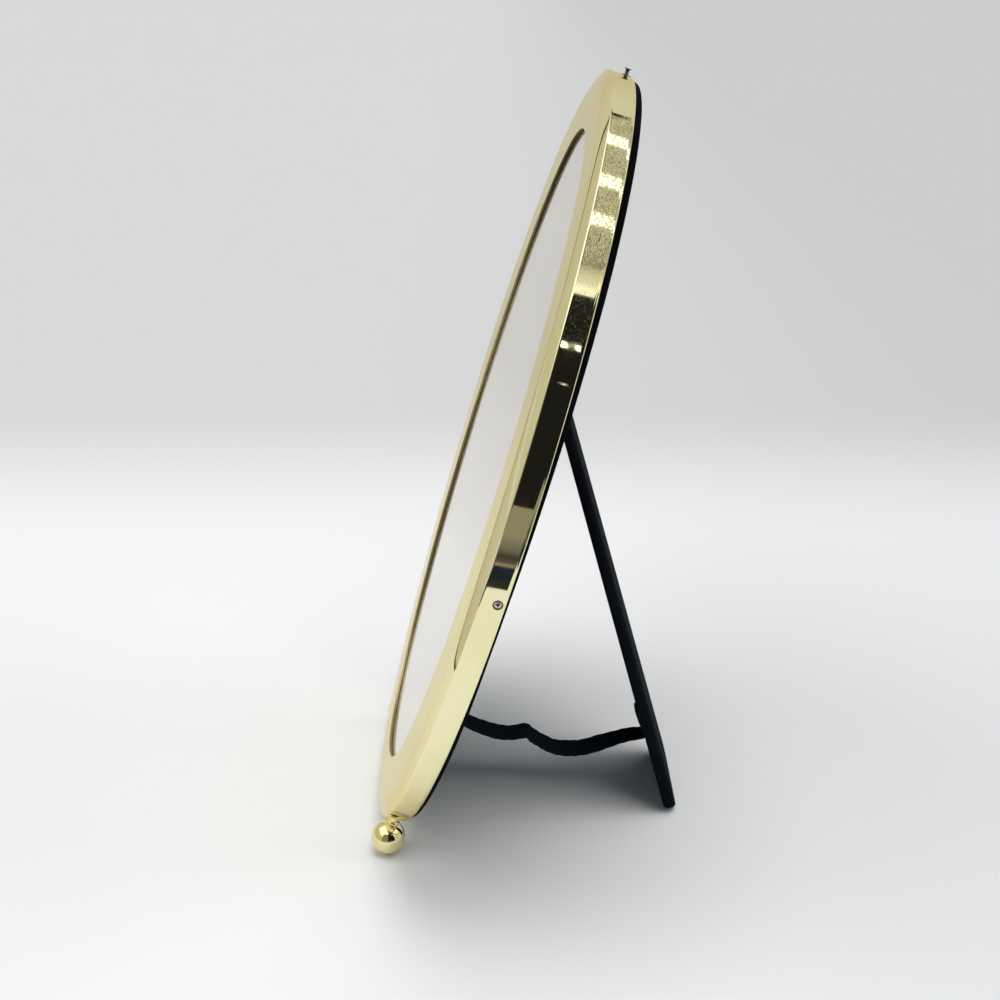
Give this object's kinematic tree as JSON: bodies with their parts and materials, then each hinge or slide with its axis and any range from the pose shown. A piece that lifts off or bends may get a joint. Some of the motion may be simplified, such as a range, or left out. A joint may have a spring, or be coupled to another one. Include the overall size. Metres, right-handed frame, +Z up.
{
  "type": "oval picture frame",
  "caption": "Oval polished brass picture frame with a deep band, crowned edge, ball feet and a velvet easel strut hinged on its back, for standing a small picture on a table or shelf",
  "frame": {"origin": "On the floor, under the middle of the object's width and of its depth with the strut open.", "axes": "+Z up. The picture faces -Y and leans back 17 degrees. +X runs across the oval and the hinge pin lies along it."},
  "size_m": [0.156, 0.0868, 0.2056],
  "materials": {
    "polished_brass": "mirror polished, lacquered",
    "turned_brass": "turned and polished",
    "clear_glass": "clear, flat",
    "white_card": "plain white card, matte",
    "hardboard": "dense brown board",
    "black_velvet": "short pile velvet, near black",
    "black_ribbon": "woven ribbon, near black",
    "screw_steel": "plain bright steel",
    "hinge_steel": "brass plated sheet, satin",
    "rivet_steel": "brass plated"
  },
  "bodies": {
    "front": {"front_frame": "polished_brass", "glass_pane": "clear_glass", "picture_insert": "white_card", "back_board": "hardboard", "back_velvet": "black_velvet", "rim_screw_top": "screw_steel", "rim_screw_right": "screw_steel", "rim_screw_bottom": "screw_steel", "rim_screw_left": "screw_steel", "ball_foot_right": "turned_brass", "ball_foot_left": "turned_brass", "foot_collar_right": "turned_brass", "foot_collar_left": "turned_brass", "foot_stud_right": "screw_steel", "foot_stud_left": "screw_steel", "hinge_board_leaf": "hinge_steel", "hinge_pin": "rivet_steel", "board_rivet_right": "rivet_steel", "board_rivet_left": "rivet_steel", "ribbon_strap": "black_ribbon"},
    "strut": {"strut_velvet": "black_velvet", "strut_board": "hardboard", "hinge_strut_leaf": "hinge_steel", "strut_rivet_right": "rivet_steel", "strut_rivet_left": "rivet_steel"}
  },
  "joints": [
    {"name": "strut_hinge", "type": "hinge", "parent": "front", "child": "strut", "pos_m": [0, 0.0048, 0.13081], "axis": [1, 0, 0], "range_deg": [-31.5, 0], "deforming": ["ribbon_strap"]}
  ]
}
